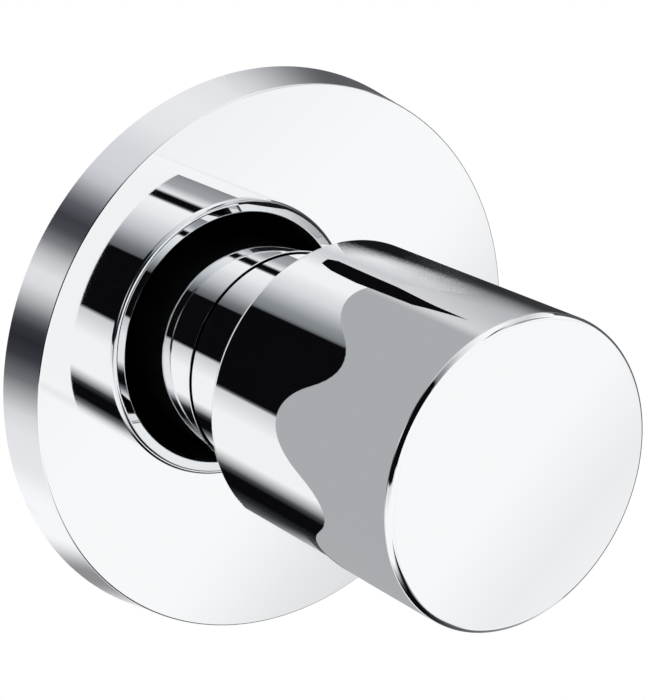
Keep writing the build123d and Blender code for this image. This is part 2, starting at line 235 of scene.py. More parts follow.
@dataclass(frozen=True)
class Turned(TwoTone):
    """Metal off a lathe: fine rings round the valve axis, drawn coarser than real so that they show."""

    def pattern(self, tree: NodeTree, at: NodeSocket) -> NodeSocket:
        """Rings across the axis on round faces and round it on flat ones.

        Args:
            tree: The material's tree.
            at: The place on the surface.

        Returns:
            The rings, from 0 to 1.
        """
        across = add_node(tree, "ShaderNodeVectorMath", {0: at, 1: ACROSS}, operation="MULTIPLY")
        radius = add_node(tree, "ShaderNodeVectorMath", {0: across.outputs[0]}, operation="LENGTH")
        length = add_node(tree, "ShaderNodeSeparateXYZ", {0: at}).outputs["Y"]
        path = add_node(tree, "ShaderNodeMath", {0: radius.outputs["Value"], 1: length}, operation="ADD")
        along = add_node(tree, "ShaderNodeCombineXYZ", {"X": path.outputs[0]})
        return add_node(tree, "ShaderNodeTexWave", {
            "Vector": along.outputs[0], "Scale": 1 / (self.grain_mm * MM * TURN)}).outputs["Fac"]


@dataclass(frozen=True)
class Cellular(TwoTone):
    """Foam or pressed fibre: small closed cells."""

    def pattern(self, tree: NodeTree, at: NodeSocket) -> NodeSocket:
        """Distance to the nearest cell."""
        return add_node(tree, "ShaderNodeTexVoronoi", {
            "Vector": at, "Scale": 1 / (self.grain_mm * MM)}).outputs["Distance"]


# Bright chrome over polished brass: a clean mirror, with a breath of haze left by the polishing wheel
CHROME = Finish("polished_chrome_plate", "#f7f8f9", 1.0, 0.012, 0.005, 9.0)
# Inside of the casting, where the plating does not reach: dull, and darkened nearly to black as painted shade
# of the deep hollow
CAST_ZINC_PAINTED_SHADE = TwoTone("cast_zinc_painted_shade", "#17181a", 0.4, 0.6, 0.15, 1.2, 0.02, "#26272a")
# Free-turning brass: warm, with the rings of the tool
BRASS = Turned("turned_brass", "#c9a357", 1.0, 0.24, 0.08, 0.35, 0.004, "#b48c42")
# Bright stainless screws and clip: cool and satin, a little cloudy
STEEL = TwoTone("stainless_steel", "#b9babd", 1.0, 0.26, 0.06, 0.8, 0.0, "#a5a7aa")
# Moulded seal rubber: black with a soft sheen
RUBBER = TwoTone("moulded_nitrile_rubber", "#151516", 0.0, 0.52, 0.1, 0.7, 0.01, "#202022")
# Closed-cell foam: dark grey with small cells
FOAM = Cellular("closed_cell_foam", "#3b3d40", 0.0, 0.85, 0.08, 0.7, 0.06, "#232527")
# Pressed fibre: reddish brown and matt
FIBRE = Cellular("pressed_fibre", "#8a3a2c", 0.0, 0.8, 0.1, 0.5, 0.02, "#6d2b21")
# Moulded acetal: off-white with a faint mould haze
PLASTIC = TwoTone("moulded_acetal", "#d9d8d2", 0.0, 0.42, 0.08, 1.5, 0.004, "#cfcec8")

SLOT_FINISH: dict[Slot, Finish] = {
    Slot.CHROME: CHROME,
    Slot.BRASS: BRASS,
    Slot.STEEL: STEEL,
    Slot.RUBBER: RUBBER,
    Slot.FOAM: FOAM,
    Slot.FIBRE: FIBRE,
    Slot.PLASTIC: PLASTIC,
    Slot.SLIDE: PLASTIC,
}


@dataclass(frozen=True)
class Reach:
    """How far a CAD node reaches, in mm: its radius, and its ends as distances from the wall to the room."""

    radius: float
    rear: float
    front: float

    @classmethod
    def of(cls, node: str) -> "Reach":
        """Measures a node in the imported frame."""
        low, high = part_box(node)
        return cls(max(high[0], high[2]) / MM, -high[1] / MM, -low[1] / MM)


@dataclass(frozen=True)
class Corner:
    """A corner of a turned outline: radius, distance from the wall and rounding in mm, and material number."""

    r: float
    out: float
    round: float = 0.0
    finish: int = Coat.MAIN


@dataclass(frozen=True)
class Stretch:
    """One stretch of an outline: straight with one outward direction, or an arc round a centre."""

    points: tuple[Point, ...]
    finish: int
    outward: Point = (0.0, 0.0)
    centre: Point | None = None
    sign: float = 1.0

    def normal(self, at: Point) -> Point:
        """Finds the way out of the material.

        Args:
            at: A point on the stretch.

        Returns:
            The outward direction there.
        """
        if self.centre is None:
            return self.outward
        ray = (Vector(at) - Vector(self.centre)).normalized() * self.sign
        return ray.x, ray.y

    def distance(self, at: Point) -> float:
        """Measures how far a point of the half plane is from this stretch.

        Args:
            at: The point.

        Returns:
            The shortest distance.
        """
        best = math.inf
        for (ax, ay), (bx, by) in zip(self.points, self.points[1:]):
            dx, dy = bx - ax, by - ay
            length = dx * dx + dy * dy
            share = 0.0 if length == 0 else ((at[0] - ax) * dx + (at[1] - ay) * dy) / length
            share = min(1.0, max(0.0, share))
            best = min(best, math.hypot(at[0] - ax - share * dx, at[1] - ay - share * dy))
        return best


@dataclass
class Outline:
    """A turned piece's half section, with the material on the left of its corners' order."""

    corners: list[Corner]
    closed: bool = True
    arc_steps: int = 8

    def stretches(self) -> list[Stretch]:
        """Splits the outline into straight stretches and the arcs of its rounded corners.

        Returns:
            The stretches in order.
        """
        count = len(self.corners)
        spans = count if self.closed else count - 1
        made: list[Stretch] = []
        cuts = [self._cut(i) for i in range(count)]
        for i in range(spans):
            here, there = self.corners[i], self.corners[(i + 1) % count]
            start, end = cuts[i][1], cuts[(i + 1) % count][0]
            dx, dy = there.r - here.r, there.out - here.out
            length = math.hypot(dx, dy)
            made.append(Stretch((start, end), here.finish, (dy / length, -dx / length)))
            arc = cuts[(i + 1) % count][2]
            if arc and (self.closed or i + 1 < count - 1):
                made.append(arc)
        return made

    def _cut(self, i: int) -> tuple[Point, Point, Stretch | None]:
        """Rounds one corner.

        Args:
            i: The corner's place in the outline.

        Returns:
            Where the rounding starts and ends, and its arc unless the corner is sharp.
        """
        count = len(self.corners)
        corner = self.corners[i]
        at = (corner.r, corner.out)
        if not corner.round or (not self.closed and i in (0, count - 1)):
            return at, at, None
        before, after = self.corners[i - 1], self.corners[(i + 1) % count]
        toward = [Vector((c.r - corner.r, c.out - corner.out)).normalized() for c in (before, after)]
        half = toward[0].angle(toward[1]) / 2
        back = corner.round / math.tan(half)
        start, end = (Vector(at) + t * back for t in toward)
        centre = Vector(at) + (toward[0] + toward[1]).normalized() * (corner.round / math.sin(half))
        turn = toward[0].x * toward[1].y - toward[0].y * toward[1].x
        sign = 1.0 if turn < 0 else -1.0
        sweep = math.pi - 2 * half
        first = math.atan2(start.y - centre.y, start.x - centre.x)
        points = []
        for step in range(self.arc_steps + 1):
            angle = first + sign * sweep * step / self.arc_steps
            points.append((centre.x + corner.round * math.cos(angle),
                           centre.y + corner.round * math.sin(angle)))
        points[0], points[-1] = tuple(start), tuple(end)
        arc = Stretch(tuple(points), corner.finish, centre=tuple(centre), sign=sign)
        return tuple(start), tuple(end), arc


def place(r: float, out: float, angle: float) -> Vector:
    """Point in metres at a radius, a distance from the wall and an angle round the axis."""
    return Vector((r * math.cos(angle), -out, r * math.sin(angle))) * MM


@dataclass
class Lathe:
    """Turns outlines into meshes with exact mirror normals."""

    segments: int = 192
    tolerance_mm: float = 0.03
    axis_r: float = 1e-6
    weld_digits: int = 5
    least_facing: float = 0.8

    def mesh(self, name: str, outline: Outline) -> Mesh:
        """Turns an outline about the valve axis.

        Args:
            name: The mesh's name.
            outline: The half section.

        Returns:
            A closed mesh with a material place for each finish number.
        """
        verts: list[Vector] = []
        faces: list[list[int]] = []
        finishes: list[int] = []
        rings: dict[Point, list[int]] = {}

        for stretch in outline.stretches():
            passed: list[list[int]] = []
            for r, out in stretch.points:
                key = (round(r, self.weld_digits), round(out, self.weld_digits))
                if key not in rings:
                    count = 1 if r < self.axis_r else self.segments
                    rings[key] = list(range(len(verts), len(verts) + count))
                    verts.extend(place(r, out, TURN * j / self.segments) for j in range(count))
                passed.append(rings[key])
            for a, b in zip(passed, passed[1:]):
                for j in range(self.segments):
                    k = (j + 1) % self.segments
                    corners = [a[j % len(a)], a[k % len(a)], b[k % len(b)], b[j % len(b)]]
                    faces.append(list(dict.fromkeys(corners)))
                    finishes.append(stretch.finish)
        mesh = bpy.data.meshes.new(name)
        mesh.from_pydata(verts, [], faces)
        mesh.polygons.foreach_set("material_index", finishes)
        mesh.update()
        return mesh

    def smooth(self, mesh: Mesh, outline: Outline) -> None:
        """Gives every face corner the normal of the true turned surface, and flat ones elsewhere.

        Args:
            mesh: The mesh, which may have been cut since it was turned.
            outline: The half section that it was turned from.
        """
        stretches = outline.stretches()
        normals: list[Vector] = [Vector((0, 0, 1))] * len(mesh.loops)
        mesh.polygons.foreach_set("use_smooth", [True] * len(mesh.polygons))
        for face in mesh.polygons:
            at = (math.hypot(face.center.x, face.center.z) / MM, -face.center.y / MM)
            gaps = [stretch.distance(at) for stretch in stretches]
            nearest = min(gaps)
            best = stretches[gaps.index(nearest)]
            for loop in face.loop_indices:
                normals[loop] = face.normal.copy()
                point = mesh.vertices[mesh.loops[loop].vertex_index].co
                r = math.hypot(point.x, point.z)
                across = Vector((point.x, 0, point.z)) / r if r > self.axis_r else Vector((0, 0, 0))
                nr, no = best.normal((r / MM, -point.y / MM))
                true = across * nr + Vector((0, -no, 0))
                facing = true.normalized().dot(face.normal)
                if nearest < self.tolerance_mm and facing > self.least_facing:
                    normals[loop] = true.normalized()
        mesh.normals_split_custom_set(normals)


LATHE = Lathe()


@dataclass
class Dresser:
    """Puts finished meshes in the scene and reports them."""

    made: list[str] = field(default_factory=list)

    def piece(self, mesh: Mesh, finishes: Iterable[Finish], body: Body, slot: Slot, *nodes: str) -> None:
        """Adds a piece that stands for CAD nodes.

        Args:
            mesh: Its mesh, in place.
            finishes: A finish for each material number.
            body: The body that it rides on.
            slot: The record's slot for its main finish; not used.
            *nodes: The CAD nodes that it stands for.
        """
        for finish in finishes:
            mesh.materials.append(finish.material())
        piece = add_object(mesh.name, mesh)
        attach(piece, body.value)
        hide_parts(*nodes)
        self.made.append(piece.name)
        LOG.info("piece %s on %s, %d faces", piece.name, body.value, len(mesh.polygons))

    def dress_nodes(self) -> None:
        """Gives every CAD node the finish of its slot."""
        for part in frame["record"]["subparts"]:
            node = frame["nodes"][part["node"]]
            finish = SLOT_FINISH[Slot(part["material_slot"])].material()
            for held in node.material_slots:
                held.material = finish
            LOG.info("node %s in %s", part["node"], finish.name)


def cut(mesh: Mesh, tool: Mesh, work: Work) -> Mesh:
    """Adds or takes away one closed mesh from another.

    Args:
        mesh: The mesh that is worked on.
        tool: The mesh that is added or taken away.
        work: Which of the two.

    Returns:
        The worked mesh, under the first one's name.
    """
    name = mesh.name
    worked, cutter = add_object("work", mesh), add_object("cutter", tool)
    modifier = worked.modifiers.new("cut", "BOOLEAN")
    modifier.operation = work.value
    modifier.solver = "EXACT"
    modifier.object = cutter
    graph = bpy.context.evaluated_depsgraph_get()
    result = bpy.data.meshes.new_from_object(worked.evaluated_get(graph))
    for thing in (worked, cutter):
        bpy.data.objects.remove(thing)
    for old in (mesh, tool):
        bpy.data.meshes.remove(old)
    result.name = name
    return result


def prism(name: str, rim: list[Vector], along: Vector, finish: int) -> Mesh:
    """Straight prism on a flat rim.

    Args:
        name: The mesh's name.
        rim: Corners of the first end in order.
        along: The way to the other end.
        finish: The material number of its faces.

    Returns:
        A closed mesh.
    """
    count = len(rim)
    verts = rim + [corner + along for corner in rim]
    faces = [list(range(count))[::-1], list(range(count, 2 * count))]
    faces += [[i, (i + 1) % count, count + (i + 1) % count, count + i] for i in range(count)]
    mesh = bpy.data.meshes.new(name)
    mesh.from_pydata(verts, [], faces)
    mesh.polygons.foreach_set("material_index", [finish] * len(faces))
    turn = (rim[1] - rim[0]).cross(rim[2] - rim[1]).dot(along)
    if turn < 0:
        mesh.flip_normals()
    mesh.update()
    return mesh


def oblong(half_x: float, out: float, half_z: float) -> list[Vector]:
    """Corners of an oblong across the valve axis, from half its sides and its place in mm."""
    return [Vector((x * half_x, -out, z * half_z)) * MM for x, z in QUARTERS]


@dataclass
class Trim:
    """The fixed chrome trim: escutcheon and neck sleeve. Sizes in mm."""

    edge_round: float = 0.25
    bore_gap: float = 0.25
    taper: float = 1.1
    plate: float = 2.0
    rim_wall: float = 1.8
    collar_setback: float = 1.2
    collar_wall: float = 3.9
    sleeve_wall: float = 1.5
    sleeve_round: float = 0.3

    def escutcheon(self) -> Outline:
        """Draws the escutcheon: flat front, tapered rim, hollow back and bored collar.

        Returns:
            Its half section.
        """
        size = Reach.of("rosette")
        bore = Reach.of("sleeve").radius + self.bore_gap
        behind = size.front - self.plate
        inner = size.radius - self.rim_wall
        return Outline([
            Corner(size.radius, size.rear),
            Corner(size.radius - self.taper, size.front, self.edge_round),
            Corner(bore, size.front, self.edge_round),
            Corner(bore, self.collar_setback),
            Corner(bore + self.collar_wall, self.collar_setback, self.edge_round),
            Corner(bore + self.collar_wall, behind, self.edge_round),
            Corner(inner - self.taper * behind / size.front, behind, self.edge_round),
            Corner(inner, size.rear),
        ])

    def sleeve(self) -> Outline:
        """Draws the neck: a tube with broken front edges.

        Returns:
            Its half section.
        """
        size = Reach.of("sleeve")
        bore = size.radius - self.sleeve_wall
        return Outline([
            Corner(size.radius, size.rear),
            Corner(size.radius, size.front, self.sleeve_round),
            Corner(bore, size.front, self.sleeve_round),
            Corner(bore, size.rear),
        ])

    def build(self, dresser: Dresser) -> None:
        """Turns both pieces and puts them on the wall.

        Args:
            dresser: Takes the pieces.
        """
        for node, outline in (("rosette", self.escutcheon()), ("sleeve", self.sleeve())):
            mesh = LATHE.mesh(node + "_turned", outline)
            LATHE.smooth(mesh, outline)
            dresser.piece(mesh, [CHROME], Body.WALL_SET, Slot.CHROME, node)


@dataclass
class Handle:
    """The turning handle: a chromed cup whose hollow is darkened with painted shade, a hub and a set screw's
    hole. Sizes in mm.
    """

    wall: float = 2.0
    front_round: float = 0.9
    rear_round: float = 0.8
    mouth_round: float = 0.2
    dome: float = 0.4
    dome_steps: int = 10
    front_wall: float = 3.4
    hub_r: float = 10.48
    hub_rear: float = 28.0
    bore_depth: float = 20.5
    bore_half: float = 6.281
    screw_out: float = 38.0
    screw_gap: float = 0.05
    screw_sides: int = 48
    boss_r: float = 4.5
    boss_sink: float = 0.8

    def outline(self) -> Outline:
        """Draws the cup, from the hub's end round its rim to the middle of its front.

        Returns:
            Its half section.
        """
        size = Reach.of("handle")
        edge = size.front - self.dome
        dome_r = (size.radius ** 2 + self.dome ** 2) / (2 * self.dome)
        flat = size.radius - self.front_round
        dome = []
        for step in range(self.dome_steps + 1):
            r = flat * (1 - step / self.dome_steps)
            dome.append(Corner(r, size.front - dome_r + math.sqrt(dome_r ** 2 - r ** 2)))
        cavity, floor = size.radius - self.wall, edge - self.front_wall
        hollow = ((0, self.hub_rear), (self.hub_r, self.hub_rear), (self.hub_r, floor), (cavity, floor))
        return Outline([
            # The hollow's faces take the finish that paints shade into them.
            *(Corner(r, out, finish=Coat.INSIDE) for r, out in hollow),
            Corner(cavity, size.rear, self.mouth_round),
            Corner(size.radius, size.rear, self.rear_round),
            Corner(size.radius, edge, self.front_round),
            *dome,
        ], closed=False)

    def disc(self, r: float) -> list[Vector]:
        """Rim of a disc round the set screw's axis, level with the valve axis."""
        angles = [TURN * i / self.screw_sides for i in range(self.screw_sides)]
        return [Vector((r * math.cos(a), r * math.sin(a) - self.screw_out, 0)) * MM for a in angles]

    def build(self, dresser: Dresser) -> None:
        """Turns the cup, then adds the boss and cuts the hub's square and the screw hole.

        Args:
            dresser: Takes the piece.
        """
        size = Reach.of("handle")
        outline = self.outline()
        mesh = LATHE.mesh("handle_cup", outline)
        down, inward = Vector((0, 0, -MM)), Vector((0, -MM, 0))
        start = self.hub_r - self.boss_sink
        end = size.radius - self.wall + self.boss_sink
        rim = [point + down * start for point in self.disc(self.boss_r)]
        mesh = cut(mesh, prism("boss", rim, down * (end - start), Coat.INSIDE), Work.JOIN)
        square = oblong(self.bore_half, self.hub_rear - OVERSHOOT, self.bore_half)
        bore = prism("bore", square, inward * (self.bore_depth + OVERSHOOT), Coat.INSIDE)
        mesh = cut(mesh, bore, Work.CUT)
        low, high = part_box("grub_screw")
        hole_r = (high[0] - low[0]) / 2 / MM + self.screw_gap
        hole = prism("hole", self.disc(hole_r), down * (size.radius + OVERSHOOT), Coat.MAIN)
        mesh = cut(mesh, hole, Work.CUT)
        LATHE.smooth(mesh, outline)
        # The second finish paints shade into the hollow, the hub's bore and the boss.
        dresser.piece(mesh, [CHROME, CAST_ZINC_PAINTED_SHADE], Body.HANDLE, Slot.CHROME, "handle")


class Rule:
    """A Geometry Nodes tree with named inputs that works a mesh by a rule, then is applied."""

    def __init__(self, name: str, sizes: dict[str, float]) -> None:
        """Starts the tree with a geometry and one number per size.

        Args:
            name: The tree's name.
            sizes: The named inputs and their values.
        """
        self.sizes = sizes
        self.tree = bpy.data.node_groups.new(name, "GeometryNodeTree")
        self.tree.interface.new_socket("Geometry", in_out="INPUT", socket_type="NodeSocketGeometry")
        for size in sizes:
            self.tree.interface.new_socket(size, in_out="INPUT", socket_type="NodeSocketFloat")
        self.tree.interface.new_socket("Geometry", in_out="OUTPUT", socket_type="NodeSocketGeometry")
        self.given = add_node(self.tree, "NodeGroupInput").outputs
        self.geometry = self.given["Geometry"]

    def solve(self, formula: Formula) -> float | NodeSocket:
        """Builds a formula from the inside out.

        Args:
            formula: A number, a socket, or an operation followed by the formulas that it takes.

        Returns:
            The number or the socket that gives the formula's value.
        """
        if not isinstance(formula, tuple):
            return formula
        operation, *parts = formula
        values = {i: self.solve(part) for i, part in enumerate(parts)}
        return add_node(self.tree, "ShaderNodeMath", values, operation=operation).outputs[0]

    @staticmethod
    def between(value: Formula, low: Formula, high: Formula) -> Formula:
        """Formula for whether a value lies between two others."""
        return "MULTIPLY", ("GREATER_THAN", value, low), ("LESS_THAN", value, high)

    def place(self) -> tuple[NodeSocket, ...]:
        """Measures where each point is.

        Returns:
            Its radius, distance from the wall, angle, and way from the axis.
        """
        tree = self.tree
        at = add_node(tree, "GeometryNodeInputPosition").outputs[0]
        parts = add_node(tree, "ShaderNodeSeparateXYZ", {0: at}).outputs
        across = add_node(tree, "ShaderNodeVectorMath", {0: at, 1: ACROSS}, operation="MULTIPLY").outputs[0]
        radius = add_node(tree, "ShaderNodeVectorMath", {0: across}, operation="LENGTH").outputs["Value"]
        out = self.solve(("MULTIPLY", parts["Y"], -1.0))
        return radius, out, self.solve(("ARCTAN2", parts["Z"], parts["X"])), across

    def reshape(self, where: Formula, radius: NodeSocket, target: Formula, across: NodeSocket) -> None:
        """Moves the chosen points to a new radius.

        Args:
            where: Which points move.
            radius: Their radius now.
            target: The radius that they get.
            across: The way from the axis, as long as the radius.
        """
        share = self.solve(("SUBTRACT", ("DIVIDE", target, radius), 1.0))
        shift = add_node(self.tree, "ShaderNodeVectorMath", {0: across, "Scale": share}, operation="SCALE")
        moved = add_node(self.tree, "GeometryNodeSetPosition", {
            "Geometry": self.geometry, "Selection": self.solve(where), "Offset": shift.outputs[0]})
        self.geometry = moved.outputs[0]

    def apply(self, mesh: Mesh, finish: Finish) -> Mesh:
        """Ends the tree with its material and works a mesh with it.

        Args:
            mesh: The mesh that is worked, which goes.
            finish: The finish that the tree sets.

        Returns:
            The worked mesh under the same name.
        """
        real = add_node(self.tree, "GeometryNodeRealizeInstances", {"Geometry": self.geometry})
        coat = add_node(self.tree, "GeometryNodeSetMaterial", {
            "Geometry": real.outputs[0], "Material": finish.material()})
        add_node(self.tree, "NodeGroupOutput", {"Geometry": coat.outputs[0]})
        name = mesh.name
        work = add_object("work", mesh)
        modifier = work.modifiers.new("rule", "NODES")
        modifier.node_group = self.tree
        for item in self.tree.interface.items_tree:
            if item.name in self.sizes:
                modifier[item.identifier] = self.sizes[item.name]
        result = bpy.data.meshes.new_from_object(work.evaluated_get(bpy.context.evaluated_depsgraph_get()))
        bpy.data.objects.remove(work)
        bpy.data.meshes.remove(mesh)
        result.name = name
        return result


@dataclass
class Headwork:
    """The headwork behind the trim, with its gasket, seat washer and screw, and the foam ring. Sizes in mm."""

    thread_r: float = 10.4775
    thread_rear: float = -33.0
    thread_front: float = -22.0
    thread_chamfer: float = 0.8
    thread_pitch: float = 1.814
    thread_depth: float = 1.162
    thread_runout: float = 1.6
    runout_share: float = 0.4
    row: float = 0.12
    relief_r: float = 9.6975
    flange_r: float = 13.4
    flange_rear: float = -19.6
    flange_front: float = -17.2
    edge_round: float = 0.25
    wrench_flat: float = 11.0
    wrench_front: float = -9.0
    wrench_chamfer: float = 0.8
    cone_steps: int = 8
    neck_r: float = 9.0052
    neck_front: float = 7.0
    neck_chamfer: float = 0.6
    journal_r: float = 5.05
    shoulder: float = -6.0
    key_r: float = 7.8552
    key_rear: float = -19.5
    slide_r: float = 8.2975
    gasket_gap: float = 0.1
    gasket_round: float = 0.2
    foam_width: float = 4.0
    foam_round: float = 0.5
    washer_hole_r: float = 2.05
    washer_round: float = 0.5
    screw_r: float = 2.0
    screw_head: float = 2.0
    screw_round: float = 0.4
    slot_width: float = 1.1
    slot_depth: float = 0.9
    sharp_degrees: float = 32.0
    reach: float = 0.05

    def rows(self, r: float, start: float, end: float) -> list[Corner]:
        """Fine rows along a straight stretch, for a rule to work on."""
        count = max(1, round((end - start) / self.row))
        return [Corner(r, start + (end - start) * i / count) for i in range(count + 1)]

    def body(self) -> Outline:
        """Draws the headwork body, before its thread and hexagon are cut.

        Returns:
            Its half section.
        """
        corner_r = self.wrench_flat / math.cos(HALF_SIDE)
        shares = [i / self.cone_steps for i in range(1, self.cone_steps + 1)]
        cone = [Corner(corner_r + (self.wrench_flat - corner_r) * share,
                       self.wrench_front - self.wrench_chamfer * (1 - share)) for share in shares]
        return Outline([
            Corner(self.thread_r - self.thread_chamfer, self.thread_rear),
            *self.rows(self.thread_r, self.thread_rear + self.thread_chamfer, self.thread_front),
            Corner(self.relief_r, self.thread_front),
            Corner(self.relief_r, self.flange_rear),
            Corner(self.flange_r, self.flange_rear, self.edge_round),
            Corner(self.flange_r, self.flange_front, self.edge_round),
            Corner(corner_r, self.flange_front),
            Corner(corner_r, self.wrench_front - self.wrench_chamfer),
            *cone,
            Corner(self.neck_r, self.wrench_front),
            Corner(self.neck_r, self.neck_front - self.neck_chamfer),
            Corner(self.neck_r - self.neck_chamfer, self.neck_front),
            Corner(self.journal_r, self.neck_front),
            Corner(self.journal_r, self.shoulder),
            Corner(self.key_r, self.shoulder),
            Corner(self.key_r, self.key_rear),
            Corner(self.slide_r, self.key_rear),
            Corner(self.slide_r, self.thread_rear),
        ])

    def machine(self, mesh: Mesh) -> Mesh:
        """Cuts the right-handed pipe thread and the wrench hexagon by rule.

        Args:
            mesh: The turned body.

        Returns:
            The machined body.
        """
        rule = Rule("machined_headwork", {
            "Thread Radius": self.thread_r * MM, "Thread Pitch": self.thread_pitch * MM,
            "Thread Depth": self.thread_depth * MM, "Thread Rear": self.thread_rear * MM,
            "Thread Front": self.thread_front * MM, "Thread Run-out": self.thread_runout * MM,
            "Run-out Share": self.runout_share, "Relief Radius": self.relief_r * MM,
            "Hexagon Flat": self.wrench_flat * MM, "Hexagon Rear": self.flange_front * MM,
            "Hexagon Front": self.wrench_front * MM, "Reach": self.reach * MM,
        })
        given, between = rule.given, rule.between
        reach, flat = given["Reach"], given["Hexagon Flat"]
        thread_r, front = given["Thread Radius"], given["Thread Front"]
        radius, out, angle, across = rule.place()
        lead = ("SUBTRACT", ("DIVIDE", angle, TURN), ("DIVIDE", out, given["Thread Pitch"]))
        wave = ("MULTIPLY", ("SUBTRACT", 1.0, ("COSINE", ("MULTIPLY", lead, TURN))), 0.5)
        start = rule.solve(("SUBTRACT", front, given["Thread Run-out"]))
        least = rule.solve(("SUBTRACT", 1.0, given["Run-out Share"]))
        ends = add_node(rule.tree, "ShaderNodeMapRange", {
            "Value": out, "From Min": start, "From Max": front, "To Min": 1.0, "To Max": least}).outputs[0]
        drop = ("MULTIPLY", ("MULTIPLY", wave, given["Thread Depth"]), ends)
        floor = ("MINIMUM", radius, ("SUBTRACT", thread_r, drop))
        along = between(out, given["Thread Rear"], ("ADD", front, reach))
        ring = between(radius, ("ADD", given["Relief Radius"], reach), ("ADD", thread_r, reach))
        rule.reshape(("MULTIPLY", along, ring), radius, floor, across)
        radius, out, angle, across = rule.place()
        sector = ("WRAP", ("SUBTRACT", angle, HALF_SIDE), HALF_SIDE, -HALF_SIDE)
        side = ("MINIMUM", radius, ("DIVIDE", flat, ("COSINE", sector)))
        corner_r = ("DIVIDE", flat, math.cos(HALF_SIDE))
        rear, front = given["Hexagon Rear"], given["Hexagon Front"]
        along = between(out, ("SUBTRACT", rear, reach), ("ADD", front, reach))
        ring = between(radius, ("SUBTRACT", flat, reach), ("ADD", corner_r, reach))
        rule.reshape(("MULTIPLY", along, ring), radius, side, across)
        return rule.apply(mesh, BRASS)

    def screw(self) -> Mesh:
        """Turns the screw that holds the seat washer, and cuts its slot.

        Returns:
            The slotted screw.
        """
        size = Reach.of("washer_screw")
        seat = size.rear + self.screw_head
        outline = Outline([
            Corner(0, size.rear),
            Corner(size.radius, size.rear, self.screw_round),
            Corner(size.radius, seat),
            Corner(self.screw_r, seat),
            Corner(self.screw_r, size.front, self.screw_round),
            Corner(0, size.front),
        ], closed=False)
        mesh = LATHE.mesh("washer_screw_slotted", outline)
        rim = oblong(size.radius + OVERSHOOT, size.rear - OVERSHOOT, self.slot_width / 2)
        slot = prism("slot", rim, Vector((0, -(OVERSHOOT + self.slot_depth) * MM, 0)), Coat.MAIN)
        mesh = cut(mesh, slot, Work.CUT)
        LATHE.smooth(mesh, outline)
        return mesh

    def ring(self, node: str, inner: float, rounding: float) -> Mesh:
        """Flat ring in a node's place, with moulded edges.

        Args:
            node: The CAD node that it stands for.
            inner: The radius of its hole.
            rounding: The radius of its edges.

        Returns:
            The turned mesh.
        """
        size = Reach.of(node)
        outer, rear, front = size.radius, size.rear, size.front
        section = ((outer, rear), (outer, front), (inner, front), (inner, rear))
        outline = Outline([Corner(r, out, rounding) for r, out in section])
        mesh = LATHE.mesh(node + "_moulded", outline)
        LATHE.smooth(mesh, outline)
        return mesh

    def build(self, dresser: Dresser) -> None:
        """Makes the headwork's pieces.

        Args:
            dresser: Takes the pieces.
        """
        body = self.machine(LATHE.mesh("bonnet_machined", self.body()))
        body.polygons.foreach_set("use_smooth", [True] * len(body.polygons))
        body.set_sharp_from_angle(angle=math.radians(self.sharp_degrees))
        dresser.piece(body, [], Body.WALL_SET, Slot.BRASS, "bonnet")
        foam_r = Reach.of("rosette_seal").radius - self.foam_width
        for node, inner, rounding, on, slot in (
            ("bonnet_gasket", self.relief_r + self.gasket_gap, self.gasket_round, Body.WALL_SET, Slot.FIBRE),
            ("rosette_seal", foam_r, self.foam_round, Body.WALL_SET, Slot.FOAM),
            ("valve_washer", self.washer_hole_r, self.washer_round, Body.PISTON, Slot.RUBBER),
        ):
            dresser.piece(self.ring(node, inner, rounding), [SLOT_FINISH[slot]], on, slot, node)
        dresser.piece(self.screw(), [STEEL], Body.PISTON, Slot.STEEL, "washer_screw")


def bare_material(name: str) -> Material:
    """Starts a studio material.

    Args:
        name: Its name.

    Returns:
        The material, with an empty tree.
    """
    made = bpy.data.materials.new(name)
    made.use_nodes = True
    made.node_tree.nodes.clear()
    return made


def show_front(tree: NodeTree, front: NodeSocket, share: float | NodeSocket = 1.0) -> None:
    """Ends a material's tree with a surface that shows from its front and is clear from the back.

    Args:
        tree: The material's tree.
        front: The shader that shows.
        share: How much of it shows, from 0 to 1.
    """
    back = add_node(tree, "ShaderNodeNewGeometry").outputs["Backfacing"]
    before = add_node(tree, "ShaderNodeMath", {0: 1.0, 1: back}, operation="SUBTRACT").outputs[0]
    shown = add_node(tree, "ShaderNodeMath", {0: share, 1: before}, operation="MULTIPLY").outputs[0]
    clear = add_node(tree, "ShaderNodeBsdfTransparent").outputs[0]
    mix = add_node(tree, "ShaderNodeMixShader", {0: shown, 1: clear, 2: front})
    add_node(tree, "ShaderNodeOutputMaterial", {"Surface": mix.outputs[0]})


def set_ramp(ramp: Node, stops: Iterable[tuple[float, str]]) -> None:
    """Sets the stops of a colour ramp.

    Args:
        ramp: The ramp node.
        stops: Places from 0 to 1 in order, each with its hex colour.
    """
    wanted = list(stops)
    elements = ramp.color_ramp.elements
    while len(elements) < len(wanted):
        elements.new(1.0)
    for element, (at, colour) in zip(elements, wanted):
        element.position = at
        element.color = linear(colour)


def hang_card(name: str, verts: list[Vector], faces: list[list[int]], finish: Material,
              unseen: Iterable[str] = ("camera", "diffuse", "shadow", "transmission")) -> None:
    """Adds a card to the studio, which only mirrors see unless it says otherwise.

    Args:
        name: The card's name.
        verts: Its corners in mm.
        faces: Its faces.
        finish: Its material.
        unseen: The kinds of ray that miss it.
    """
    mesh = bpy.data.meshes.new(name)
    mesh.from_pydata([v * MM for v in verts], [], faces)
    mesh.materials.append(finish)
    card = add_object(name, mesh)
    for kind in unseen:
        setattr(card, "visible_" + kind, False)


